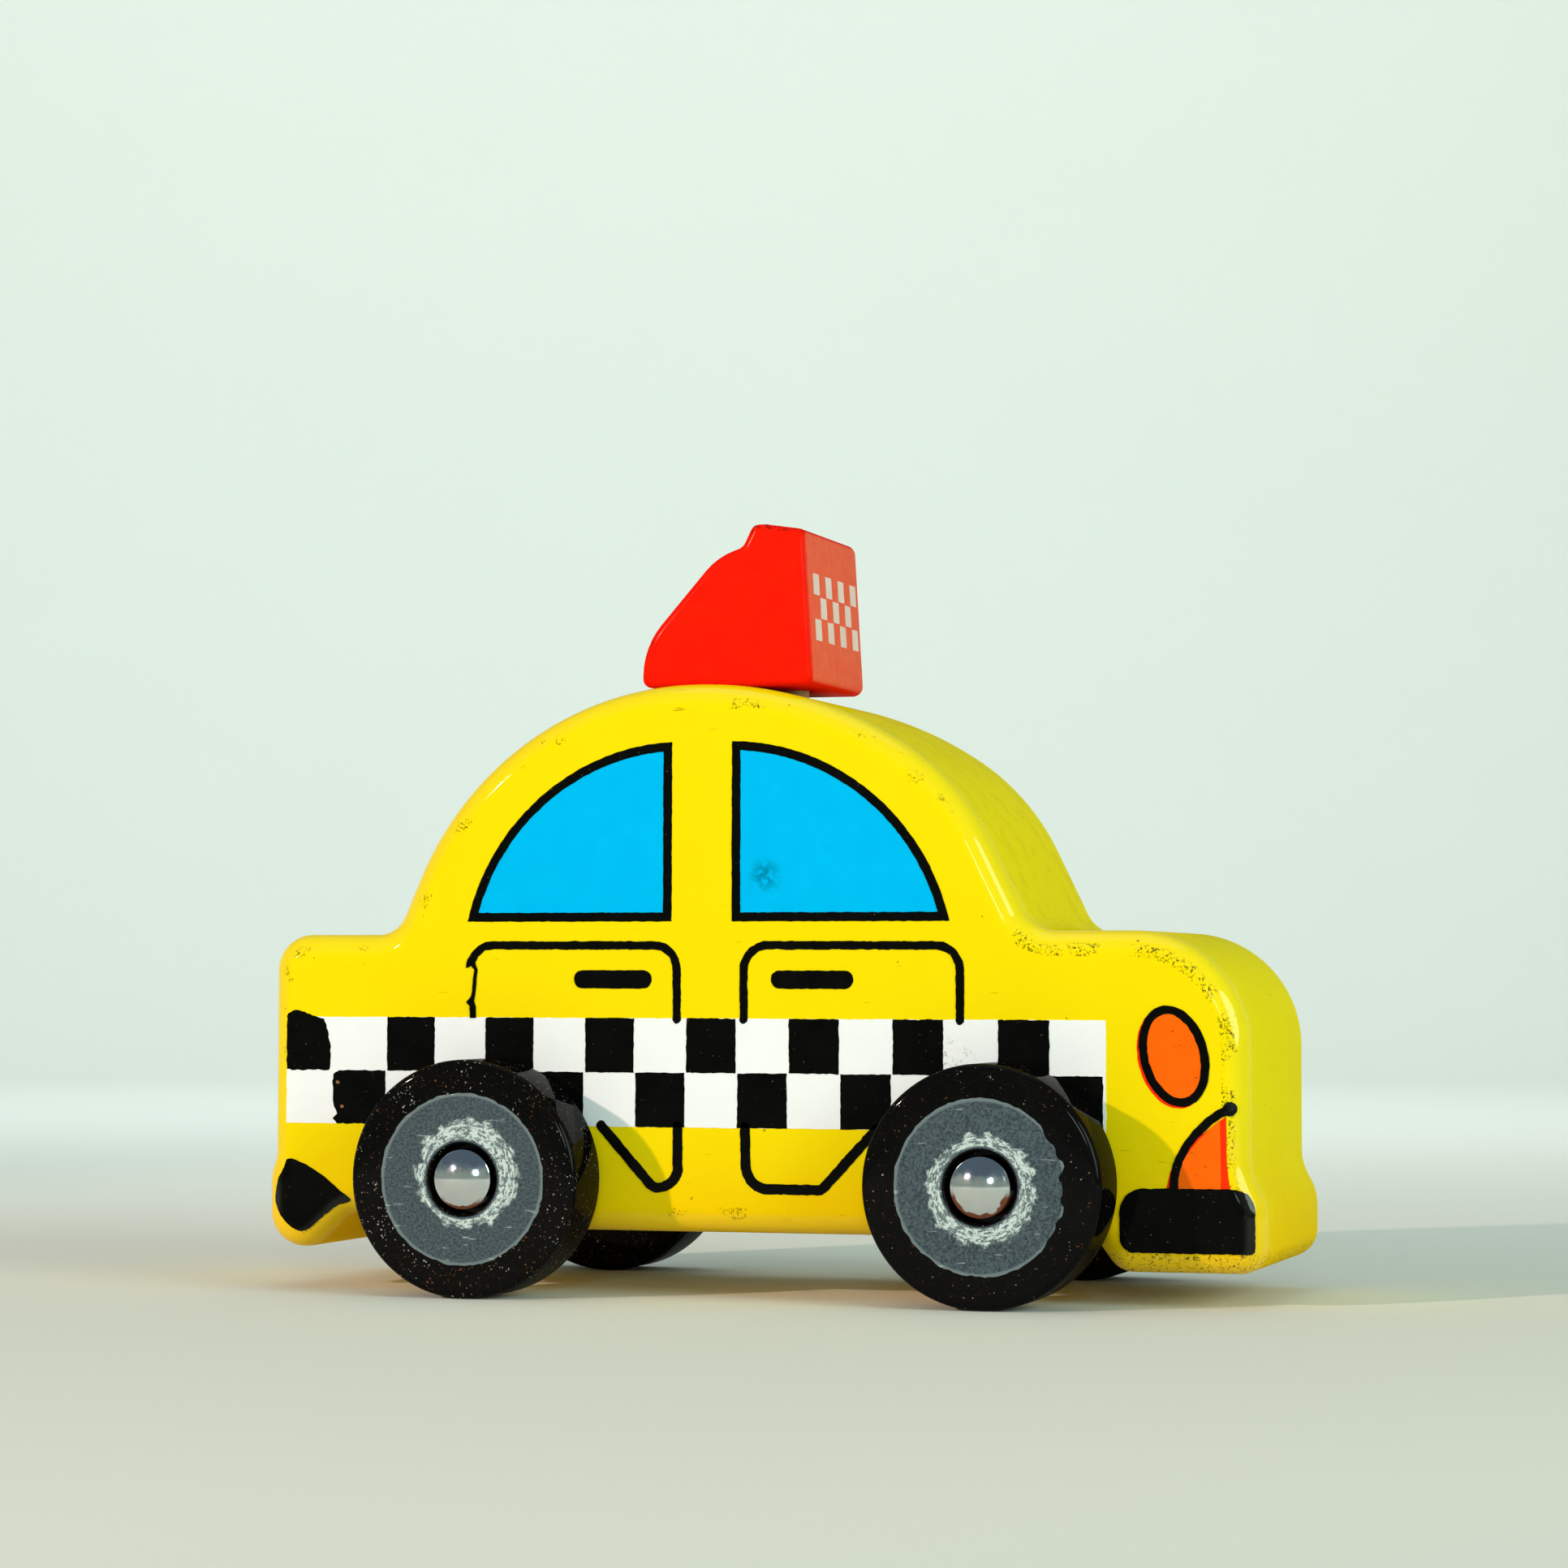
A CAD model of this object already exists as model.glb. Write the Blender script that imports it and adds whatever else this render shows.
"""Looks of a small painted wooden taxi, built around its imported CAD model.

The body and the roof sign are rebuilt as slabs with finely rounded rims, the wheels, caps and axles are
turned again with more steps, and the windows, doors, lamps and checks are thin films of printed ink.
Lengths in this file are in millimetres, in the model's own frame; MM turns them into Blender's metres.
"""

import math

import bmesh
import bpy
import numpy as np
from mathutils import Matrix, Vector, noise
from mathutils.geometry import delaunay_2d_cdt


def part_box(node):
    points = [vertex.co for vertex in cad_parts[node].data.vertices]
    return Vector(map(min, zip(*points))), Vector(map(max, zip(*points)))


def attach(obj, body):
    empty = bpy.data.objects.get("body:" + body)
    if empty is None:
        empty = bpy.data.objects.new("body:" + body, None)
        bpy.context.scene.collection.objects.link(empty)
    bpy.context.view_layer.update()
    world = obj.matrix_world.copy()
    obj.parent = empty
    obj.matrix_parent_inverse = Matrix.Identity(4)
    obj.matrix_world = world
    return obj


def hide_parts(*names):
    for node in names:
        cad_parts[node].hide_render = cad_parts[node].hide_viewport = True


MM = 0.001

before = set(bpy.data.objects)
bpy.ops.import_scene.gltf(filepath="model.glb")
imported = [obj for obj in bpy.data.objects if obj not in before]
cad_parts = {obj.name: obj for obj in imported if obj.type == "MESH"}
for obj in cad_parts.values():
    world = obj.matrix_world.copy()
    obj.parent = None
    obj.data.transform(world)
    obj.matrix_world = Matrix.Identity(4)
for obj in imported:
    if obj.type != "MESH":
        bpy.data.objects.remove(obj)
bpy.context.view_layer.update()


def box_mm(node):
    """Lowest and highest corner of a CAD node, in millimetres."""
    low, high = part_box(node)
    return low / MM, high / MM


# ---------------------------------------------------------------- sizes of the visible pieces

BODY_LOW, BODY_HIGH = box_mm("body")
SIGN_LOW, SIGN_HIGH = box_mm("roof_sign")
BODY_ROUNDOVER = 2.5
SIGN_ROUNDOVER = 0.7
HOOD_Z = 34.3
TRUNK_Z = 33.95
NOSE_X = 47.15
TAIL_X = -48.1
SILL_Z = 6.0
NOTCH_Z = 7.4
SIGN_LEAN = math.radians(3.4)
SHARP_ANGLE = math.radians(35)
WHEEL_BORE_RADIUS = 1.85
HUB_RECESS_RADIUS = 3.3
HUB_RECESS_DEPTH = 2.3
HUB_FACE_RADIUS = 8.0
HUB_FACE_HOLE = 3.52
HUB_FACE_TEAR = 0.42
CAP_SKIRT = 1.85
CAP_BORE_RADIUS = 1.85
CAP_BORE_DEPTH = 1.6
AXLE_BORE_RADIUS = 1.95
DOWEL_HOLE_RADIUS = 1.85
SIGN_DOWELS = ("front_sign_dowel", "rear_sign_dowel")

# each wheel and cap has its own seed for its wear; these two show worn hubs or caps of their own
FRONT_RIGHT_SEED = 1
REAR_RIGHT_SEED = 3

# small checks on the front of the sign
SIGN_CHECK = 2.2
SIGN_CHECK_GAP = 0.08
SIGN_CHECK_ROWS = 3
SIGN_CHECK_COLUMNS = 7
SIGN_CHECK_Z = 7.6

# printed panels on both sides of the body
LINE = 0.78
FOOT_LINE = 0.95
INK_STEP = 0.03
INK_ROOT = -0.01
EDGE_SEED = 7
WINDOW_RADIUS = 21.85
WINDOW_CENTRES = ((-6.6, 30.2), (-1.9, 30.2))
WINDOW_BOTTOM_Z = 35.15
PILLAR_XS = (-7.5, -1.6)
BAND_X = (-46.4, 34.1)
BAND_ROWS_Z = (15.85, 20.95, 26.05)
CHECK_WIDTH = 4.82
CHECK_PITCH = 10.0
CHECK_COUNT = 7
UPPER_CHECK_X = -36.0
LOWER_CHECK_X = -31.0
HANDLE_Z = 29.7
HANDLE_SPANS = ((-16.3, -10.3), (3.1, 9.35))
HANDLE_WIDTH = 1.72

# camera and lights, around the middle of the car
CAMERA_PLACE = (115.3, -400.4, 29.5)
CAMERA_YAW = math.radians(16.22)
CAMERA_PITCH = math.radians(2.64)
CAMERA_ROLL = math.radians(0.13)
CAMERA_LENS = 98.5
KEY_CONE = math.radians(38)
KEY_BLEND = 0.7
LIGHT_TARGET = (0, 0, 30)
FLOOR_RADIUS = 900.0
WALL_CURVE = 350.0
WALL_TOP = 520.0


# ---------------------------------------------------------------- lines and outlines

def rounded(corners, step=math.radians(5), closed=True):
    """Points along a polygon whose corners (x, z, radius) are rounded by arcs."""
    points = []
    count = len(corners)
    for i, (x, z, radius) in enumerate(corners):
        corner = Vector((x, z))
        at_end = not closed and i in (0, count - 1)
        if radius == 0 or at_end:
            points.append((x, z))
            continue
        inward = (Vector(corners[i - 1][:2]) - corner).normalized()
        outward = (Vector(corners[(i + 1) % count][:2]) - corner).normalized()
        half = math.acos(max(-1.0, min(1.0, inward.dot(outward)))) / 2
        turn = math.pi - 2 * half
        centre = corner + (inward + outward).normalized() * (radius / math.sin(half))
        start = corner + inward * (radius / math.tan(half)) - centre
        side = 1 if outward.cross(inward) > 0 else -1
        steps = max(2, round(turn / step), round(turn * radius / 0.9))
        for k in range(steps + 1):
            spoke = start.copy()
            spoke.rotate(Matrix.Rotation(side * turn * k / steps, 2))
            points.append(tuple(centre + spoke))
    return points


def smooth_loop(points, steps=6):
    """Closed Catmull-Rom curve through hand-placed points."""
    curve = []
    count = len(points)
    for i in range(count):
        a, b, c, d = (Vector(points[(i + k) % count]) for k in (-1, 0, 1, 2))
        for k in range(steps):
            t = k / steps
            curve.append(tuple(
                0.5 * (2 * b + (c - a) * t + (2 * a - 5 * b + 4 * c - d) * t**2
                       + (3 * b - a - 3 * c + d) * t**3)
            ))
    return curve


def ellipse(centre, half_width, half_height, lean=0.0, steps=72):
    """Closed ellipse whose long axis leans towards the back of the car."""
    points = []
    for k in range(steps):
        angle = math.tau * k / steps
        u, v = half_width * math.cos(angle), half_height * math.sin(angle)
        points.append((
            centre[0] + u * math.cos(lean) - v * math.sin(lean),
            centre[1] + u * math.sin(lean) + v * math.cos(lean),
        ))
    return points


def offset(loop, distance):
    """The closed loop moved sideways: a positive distance moves an anticlockwise loop inwards."""
    moved = []
    count = len(loop)
    for i in range(count):
        before, here, after = (Vector(loop[(i + k) % count]) for k in (-1, 0, 1))
        a, b = (here - before).normalized(), (after - here).normalized()
        normal_a, normal_b = Vector((-a.y, a.x)), Vector((-b.y, b.x))
        mitre = (normal_a + normal_b) / max(0.3, 1 + normal_a.dot(normal_b))
        moved.append(tuple(here + mitre * distance))
    return moved


def stroke(points, width, cap_steps=8):
    """Closed outline of an open line drawn with a round pen."""
    half = width / 2
    path = [Vector(p) for p in points]
    normals = []
    for i in range(len(path)):
        along = (path[min(i + 1, len(path) - 1)] - path[max(i - 1, 0)]).normalized()
        normals.append(Vector((-along.y, along.x)))
    left = [p + n * half for p, n in zip(path, normals)]
    right = [p - n * half for p, n in zip(path, normals)]

    def cap(end, normal):
        turns = (math.pi * k / cap_steps for k in range(1, cap_steps))
        return [end + Matrix.Rotation(-t, 2) @ (normal * half) for t in turns]

    outline = left + cap(path[-1], normals[-1]) + right[::-1] + cap(path[0], -normals[0])
    return [tuple(p) for p in outline]


def rectangle(x0, z0, x1, z1):
    return [(x0, z0), (x1, z0), (x1, z1), (x0, z1)]


def ragged(loop, seed, size=0.055, pitch=0.3, grain=1.5):
    """The same closed loop with the slightly uneven edge of printed ink."""
    points = []
    for (x0, z0), (x1, z1) in zip(loop, loop[1:] + loop[:1]):
        steps = max(1, round(math.dist((x0, z0), (x1, z1)) / pitch))
        for k in range(steps):
            x, z = x0 + (x1 - x0) * k / steps, z0 + (z1 - z0) * k / steps
            coarse = noise.noise_vector(Vector((x, z, seed)) * grain)
            fine = noise.noise_vector(Vector((x, z, seed + 9)) * grain * 3)
            points.append((x + size * (coarse.x + fine.x), z + size * (coarse.y + fine.y)))
    return points


def body_outline():
    """Side view of the body slab, anticlockwise from the bottom of the front bumper."""
    low, high = BODY_LOW, BODY_HIGH
    return rounded([
        (34.9, low.z, 2.7), (high.x, low.z, 2.7), (high.x, 9.4, 5.0), (NOSE_X, 12.2, 5.0),
        (NOSE_X, HOOD_Z, 10.8), (26.98, HOOD_Z, 3.4), (20.19, 48.2, 23.0), (5.49, high.z, 37.0),
        (-25.66, high.z, 30.3), (-35.76, TRUNK_Z, 3.2), (TAIL_X, TRUNK_Z, 3.4),
        (TAIL_X, 12.6, 4.0), (low.x, 10.9, 4.0), (low.x, -0.5, 3.4),
        (-40.15, NOTCH_Z, 2.0), (-37.8, NOTCH_Z, 2.0), (-36.1, SILL_Z, 3.0),
        (27.4, SILL_Z, 3.0), (29.1, NOTCH_Z, 2.0), (31.8, NOTCH_Z, 1.6),
    ])


def sign_outline():
    """Side view of the roof sign: a round back, a small lip on top and a front that leans back."""
    low, high = SIGN_LOW, SIGN_HIGH
    lean = math.tan(SIGN_LEAN) * (high.z - low.z)
    return rounded([
        (high.x, low.z, 1.0), (high.x - lean, high.z - 0.6, 1.0), (-0.5, high.z, 1.2),
        (-1.75, high.z, 0.9), (-2.8, 71.05, 1.2), (-5.35, 70.2, 6.5), (low.x, 61.65, 7.6),
        (low.x, low.z, 0.85),
    ], step=math.radians(8))


# ---------------------------------------------------------------- meshes

def new_piece(name, vertices, faces, body, slot, material):
    """Makes a mesh piece from points in millimetres and fixes it to its CAD body."""
    mesh = bpy.data.meshes.new(name)
    mesh.from_pydata([tuple(c * MM for c in v) for v in vertices], [], faces)
    mesh.validate()
    mesh.shade_smooth()
    mesh.set_sharp_from_angle(angle=SHARP_ANGLE)
    piece = bpy.data.objects.new(name, mesh)
    bpy.context.scene.collection.objects.link(piece)
    mesh.materials.append(material)
    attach(piece, body)
    return piece


def slab_mesh(outline, width, roundover, rim_steps):
    """Vertices and faces of a slab between two copies of the outline, with its rims rounded over."""
    half = width / 2
    hold = 0.15
    levels = [(roundover + hold, half)]
    for k in range(rim_steps + 1):
        angle = math.pi / 2 * k / rim_steps
        levels.append((
            roundover * (1 - math.sin(angle)), half - roundover * (1 - math.cos(angle)),
        ))
    rings = [(inset, -y) for inset, y in levels] + [(inset, y) for inset, y in reversed(levels)]
    vertices = []
    for inset, y in rings:
        vertices += [(x, y, z) for x, z in offset(outline, inset)]
    count = len(outline)
    faces = []
    for r in range(len(rings) - 1):
        for i in range(count):
            j = (i + 1) % count
            faces.append((r * count + i, r * count + j, (r + 1) * count + j, (r + 1) * count + i))
    faces.append(tuple(reversed(range(count))))
    faces.append(tuple(range((len(rings) - 1) * count, len(rings) * count)))
    return vertices, [tuple(reversed(face)) for face in faces]


def drill(piece, holes):
    """Cuts round holes (centre, axis, radius, length) out of a piece."""
    for centre, axis, radius, length in holes:
        cutter_mesh = bpy.data.meshes.new("drill")
        solid = bmesh.new()
        bmesh.ops.create_cone(
            solid, cap_ends=True, segments=48, radius1=radius * MM, radius2=radius * MM,
            depth=length * MM,
        )
        turn = Vector((0, 0, 1)).rotation_difference(Vector(axis)).to_matrix().to_4x4()
        bmesh.ops.transform(solid, matrix=turn, verts=solid.verts)
        bmesh.ops.translate(solid, vec=Vector(centre) * MM, verts=solid.verts)
        solid.to_mesh(cutter_mesh)
        solid.free()
        cutter = bpy.data.objects.new("drill", cutter_mesh)
        bpy.context.scene.collection.objects.link(cutter)
        cut = piece.modifiers.new("hole", "BOOLEAN")
        cut.operation = "DIFFERENCE"
        cut.solver = "EXACT"
        cut.object = cutter
        bpy.context.view_layer.update()
        drilled = bpy.data.meshes.new_from_object(
            piece.evaluated_get(bpy.context.evaluated_depsgraph_get())
        )
        piece.modifiers.clear()
        piece.data = drilled
        bpy.data.objects.remove(cutter)
    piece.data.set_sharp_from_angle(angle=SHARP_ANGLE)


def turned(name, profile, centre, direction, body, slot, material, steps=96):
    """Turns a closed (radius, height) profile about the Y axis; heights grow along direction."""
    vertices, faces = [], []
    count = len(profile)
    for s in range(steps):
        angle = math.tau * s / steps
        for radius, height in profile:
            vertices.append((
                centre[0] + radius * math.cos(angle), centre[1] + direction * height,
                centre[2] + radius * math.sin(angle),
            ))
    for s in range(steps):
        for i in range(count):
            j, after = (i + 1) % count, (s + 1) % steps
            faces.append((s * count + i, s * count + j, after * count + j, after * count + i))
    piece = new_piece(name, vertices, faces, body, slot, material)
    shape = bmesh.new()
    shape.from_mesh(piece.data)
    bmesh.ops.remove_doubles(shape, verts=shape.verts, dist=1e-6)
    bmesh.ops.recalc_face_normals(shape, faces=shape.faces)
    shape.to_mesh(piece.data)
    shape.free()
    piece.data.set_sharp_from_angle(angle=SHARP_ANGLE)
    return piece


def arc(centre_radius, centre_height, size, start, end, steps=6):
    """Quarter-round stretch of a (radius, height) profile."""
    angles = (start + (end - start) * k / steps for k in range(steps + 1))
    return [
        (centre_radius + size * math.cos(a), centre_height + size * math.sin(a)) for a in angles
    ]


# ---------------------------------------------------------------- ink films

def inside(points, loops):
    """Even-odd test of many points against several closed loops."""
    x, z = points[:, 0], points[:, 1]
    result = np.zeros(len(points), bool)
    for loop in loops:
        ring = np.array(loop)
        for (x0, z0), (x1, z1) in zip(ring, np.roll(ring, -1, axis=0)):
            if z0 == z1:
                continue
            crosses = (z0 > z) != (z1 > z)
            result ^= crosses & (x < (x1 - x0) * (z - z0) / (z1 - z0) + x0)
    return result


def rim_depth(points, outline):
    """Distance of points from the edge of the body, seen from the side."""
    ring = np.array(outline)
    start, step = ring, np.roll(ring, -1, axis=0) - ring
    delta = points[:, None, :] - start[None]
    t = np.clip((delta * step).sum(2) / (step**2).sum(1), 0, 1)
    return np.linalg.norm(delta - t[..., None] * step, axis=2).min(1)


def body_side(side):
    """How flat ink is laid on one side of the body, over the rounded rim too."""
    outline = body_outline()
    half = BODY_HIGH.y

    def lay(points, height):
        depth = np.minimum(rim_depth(points, outline), BODY_ROUNDOVER)
        reach = (BODY_ROUNDOVER + height) ** 2 - (BODY_ROUNDOVER - depth) ** 2
        y = side * (half - BODY_ROUNDOVER + np.sqrt(reach))
        return np.column_stack([points[:, 0], y, points[:, 1]])

    return lay


def flat_face(origin, across, up):
    """How ink is laid on a flat face with its own (across, up) coordinates."""
    origin, across, up = (np.array(v, float) for v in (origin, across, up))
    outward = np.cross(across, up)

    def lay(points, height):
        return origin + points[:, :1] * across + points[:, 1:] * up + outward * height

    return lay


def film(name, loops, lay, body, slot, material, layer=1, fill_pitch=None):
    """Thin closed film of ink over the area inside the loops, laid on a surface."""
    points, edges = [], []
    for loop in loops:
        first = len(points)
        points += loop
        edges += [(first + i, first + (i + 1) % len(loop)) for i in range(len(loop))]
    if fill_pitch:
        low, high = np.min(points, axis=0), np.max(points, axis=0)
        grid = np.mgrid[low[0]:high[0]:fill_pitch, low[1]:high[1]:fill_pitch].reshape(2, -1).T
        grid = grid[inside(grid, loops)]
        near_edge = rim_depth(grid, np.array(points)) if len(loops) == 1 else None
        grid = grid if near_edge is None else grid[near_edge > fill_pitch * 0.4]
        points += [tuple(p) for p in grid]
    flat, _, triangles, *_ = delaunay_2d_cdt([Vector(p) for p in points], edges, [], 0, 1e-6)
    flat = np.array([tuple(p) for p in flat])
    triangles = np.array(triangles)
    triangles = triangles[inside(flat[triangles].mean(axis=1), loops)]
    height = layer * INK_STEP
    top, base = lay(flat, height), lay(flat, INK_ROOT)
    corners = top[triangles[0]]
    facing = np.cross(corners[1] - corners[0], corners[2] - corners[0])
    if facing @ (top[triangles[0][0]] - base[triangles[0][0]]) < 0:
        triangles = triangles[:, ::-1]
    sides = {tuple(t[[k, (k + 1) % 3]]) for t in triangles for k in range(3)}
    border = [(a, b) for a, b in sides if (b, a) not in sides]
    lower = len(flat)
    walls = [(int(b), int(a), int(a) + lower, int(b) + lower) for a, b in sorted(border)]
    faces = [tuple(int(i) for i in t) for t in triangles] + walls
    piece = new_piece(name, np.vstack([top, base]), faces, body, slot, material)
    shape = bmesh.new()
    shape.from_mesh(piece.data)
    loose = [v for v in shape.verts if not v.link_faces]
    bmesh.ops.delete(shape, geom=loose, context="VERTS")
    shape.to_mesh(piece.data)
    shape.free()
    return piece


# ---------------------------------------------------------------- materials

class Paint:
    """A Principled material put together node by node. Patterns are sized in millimetres."""

    def __init__(self, name, **inputs):
        self.material = bpy.data.materials.new(name)
        self.material.use_nodes = True
        self.tree = self.material.node_tree
        self.bsdf = self.tree.nodes["Principled BSDF"]
        place = self.node("ShaderNodeTexCoord", output="Object")
        self.place = self.node("ShaderNodeVectorMath", operation="SCALE", Vector=place, Scale=1 / MM)
        self.set(**inputs)

    def node(self, kind, output=0, inputs=(), **values):
        """Adds a node. Capitalised names are its inputs, lower-case names its settings."""
        made = self.tree.nodes.new(kind)
        for name, value in values.items():
            if name[0].islower():
                setattr(made, name, value)
        for key, value in list(enumerate(inputs)) + [
            (name.replace("_", " "), value) for name, value in values.items() if name[0].isupper()
        ]:
            self.plug(made.inputs[key], value)
        return made.outputs[output]

    def plug(self, socket, value):
        if isinstance(value, bpy.types.NodeSocket):
            self.tree.links.new(value, socket)
        else:
            socket.default_value = value

    def set(self, **inputs):
        for name, value in inputs.items():
            self.plug(self.bsdf.inputs[name.replace("_", " ")], value)

    def noise(self, size, detail=2.0, roughness=0.5, stretch=(1, 1, 1), shift=0.0):
        """Noise from 0 to 1 whose blobs are about size millimetres across."""
        place = self.node(
            "ShaderNodeMapping", Vector=self.place, Scale=stretch, Location=(shift, shift, shift),
        )
        return self.node(
            "ShaderNodeTexNoise", Vector=place, Scale=1 / size, Detail=detail, Roughness=roughness,
        )

    def dots(self, size, amount, shift=0.0):
        """1 in round specks scattered at random, one in every few cells."""
        place = self.node("ShaderNodeMapping", Vector=self.place, Location=(shift, shift, shift))
        cells = self.node("ShaderNodeTexVoronoi", Vector=place, Scale=1 / (size * 3))
        chosen = self.step(self.noise(size * 5, detail=0, shift=shift), 1 - amount, 0.02)
        return self.times(self.step(cells, 0.22, 0.05, rising=False), chosen)

    def step(self, value, edge, soft, rising=True):
        """Smooth step of value about an edge."""
        low, high = (0.0, 1.0) if rising else (1.0, 0.0)
        return self.node(
            "ShaderNodeMapRange", interpolation_type="SMOOTHSTEP",
            Value=value, From_Min=edge - soft, From_Max=edge + soft, To_Min=low, To_Max=high,
        )

    def spread(self, value, low, high):
        """Stretches a 0 to 1 value to run from low to high."""
        return self.node("ShaderNodeMapRange", Value=value, To_Min=low, To_Max=high)

    def maths(self, operation, *values):
        return self.node("ShaderNodeMath", operation=operation, inputs=values)

    def times(self, a, b):
        return self.maths("MULTIPLY", a, b)

    def mix(self, factor, a, b):
        made = self.tree.nodes.new("ShaderNodeMix")
        made.data_type = "RGBA"
        for index, value in ((0, factor), (6, a), (7, b)):
            self.plug(made.inputs[index], value)
        return made.outputs[2]

    def axis(self, name):
        """One coordinate of the surface point, in millimetres."""
        return self.node("ShaderNodeSeparateXYZ", output=name, inputs=[self.place])

    def facing(self, name):
        """How far the surface faces along one axis, from -1 to 1."""
        normal = self.node("ShaderNodeTexCoord", output="Normal")
        return self.node("ShaderNodeSeparateXYZ", output=name, inputs=[normal])

    def sideways(self):
        """1 where the surface faces straight to the left or right, 0 where it faces along the slab."""
        return self.maths("ABSOLUTE", self.facing("Y"))

    def rim(self):
        """1 on the rounded rims, where the surface faces neither straight sideways nor straight out."""
        sideways = self.sideways()
        return self.times(self.step(sideways, 0.12, 0.1), self.step(sideways, 0.95, 0.04, rising=False))

    def seam(self):
        """1 in the narrow band where the flat sides begin to turn into the rims."""
        sideways = self.sideways()
        return self.times(self.step(sideways, 0.86, 0.05), self.step(sideways, 0.998, 0.001, rising=False))

    def across(self):
        """1 on the faces that run across the slab: roof, windscreen, hood, nose, deck and tail."""
        return self.step(self.sideways(), 0.12, 0.06, rising=False)

    def away(self, centre):
        """Distance in millimetres from an axis along Y through the centre."""
        offset = self.node("ShaderNodeVectorMath", operation="SUBTRACT", inputs=[self.place, centre])
        flat = self.node("ShaderNodeVectorMath", operation="MULTIPLY", inputs=[offset, (1, 0, 1)])
        return self.node("ShaderNodeVectorMath", output="Value", operation="LENGTH", inputs=[flat])

    def turning(self, centre, size):
        """Coordinates for noise that is drawn out in arcs round an axis along Y."""
        offset = self.node("ShaderNodeVectorMath", operation="SUBTRACT", inputs=[self.place, centre])
        x, z = (self.node("ShaderNodeSeparateXYZ", output=name, inputs=[offset]) for name in "XZ")
        along = self.times(self.maths("ARCTAN2", z, x), 1.6 / size)
        outward = self.times(self.away(centre), 1 / size)
        return self.node("ShaderNodeCombineXYZ", X=outward, Y=along, Z=centre[0])

    def bump(self, height, depth, below=None):
        """Adds relief of that depth in millimetres, on top of any bump made before."""
        values = {"Normal": below} if below is not None else {}
        return self.node("ShaderNodeBump", Height=height, Distance=depth * MM, Strength=1.0, **values)


def rgb(red, green, blue):
    """Linear colour from 0 to 255 sRGB values."""
    def linear(c):
        c /= 255
        return c / 12.92 if c <= 0.04045 else ((c + 0.055) / 1.055) ** 2.4
    return linear(red), linear(green), linear(blue), 1.0


def yellow_paint():
    """Thick gloss lacquer on wood, warmer low down, with grime and scuffs along the rims."""
    paint = Paint("yellow_paint", Specular_IOR_Level=0.0, Coat_Roughness=0.06)
    shade = paint.mix(paint.noise(9, detail=3), rgb(246, 218, 4), rgb(250, 224, 12))
    low_down = paint.maths("ADD", paint.axis("Z"), paint.spread(paint.noise(7), -4, 4))
    low_down = paint.times(paint.step(low_down, 11, 7, rising=False), 0.6)
    shade = paint.mix(low_down, shade, rgb(250, 190, 0))
    # specks worn through where the flat sides turn into the rims, and a few out on the rims
    wear = paint.noise(0.27, detail=4, roughness=0.75)
    seam = paint.times(paint.step(wear, 0.565, 0.02), paint.seam())
    forward = paint.spread(paint.step(paint.axis("X"), 38, 6), -0.05, 0.1)
    patches = paint.maths("ADD", paint.noise(4.5, detail=2, shift=11), forward)
    seam = paint.times(seam, paint.step(patches, 0.53, 0.04))
    rim = paint.times(paint.step(wear, 0.7, 0.02), paint.rim())
    rim = paint.times(rim, paint.step(paint.noise(6, detail=1, shift=5), 0.52, 0.06))
    low_edge = paint.step(paint.axis("Z"), 4.9, 0.4, rising=False)
    chin = paint.times(paint.step(paint.axis("X"), 33, 1), low_edge)
    chin = paint.times(chin, paint.step(wear, 0.59, 0.03))
    marks = paint.maths("MAXIMUM", paint.maths("MAXIMUM", seam, rim), chin)
    shade = paint.mix(paint.times(marks, 0.9), shade, rgb(56, 32, 6))
    dots = paint.dots(0.2, 0.2)
    shade = paint.mix(paint.times(dots, 0.7), shade, rgb(84, 64, 10))
    lines = paint.step(paint.noise(0.3, detail=2, stretch=(0.1, 1, 1), shift=23), 0.74, 0.02)
    lines = paint.times(lines, paint.step(paint.noise(7, detail=1, shift=31), 0.56, 0.04))
    shade = paint.mix(paint.times(lines, 0.45), shade, rgb(150, 112, 10))
    # dull stains across the roof, the windscreen and the hood
    stains = paint.step(paint.noise(2.6, detail=6, roughness=0.65, shift=3), 0.56, 0.08)
    stains = paint.times(stains, paint.times(paint.across(), paint.step(paint.axis("Z"), 33, 2)))
    shade = paint.mix(paint.times(stains, 0.22), shade, rgb(206, 178, 4))
    gloss = paint.spread(paint.noise(3, detail=4), 0.2, 0.34)
    peel = paint.bump(paint.noise(1.4, detail=1), 0.012)
    grain = paint.bump(paint.noise(0.5, detail=3, stretch=(0.25, 1, 0.06)), 0.01, peel)
    dented = paint.bump(paint.maths("ADD", marks, dots), -0.02, grain)
    polish = paint.spread(paint.rim(), 0.035, 0.7)
    paint.set(Base_Color=shade, Roughness=gloss, Normal=dented, Coat_Normal=peel, Coat_Weight=polish)
    return paint.material


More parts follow.
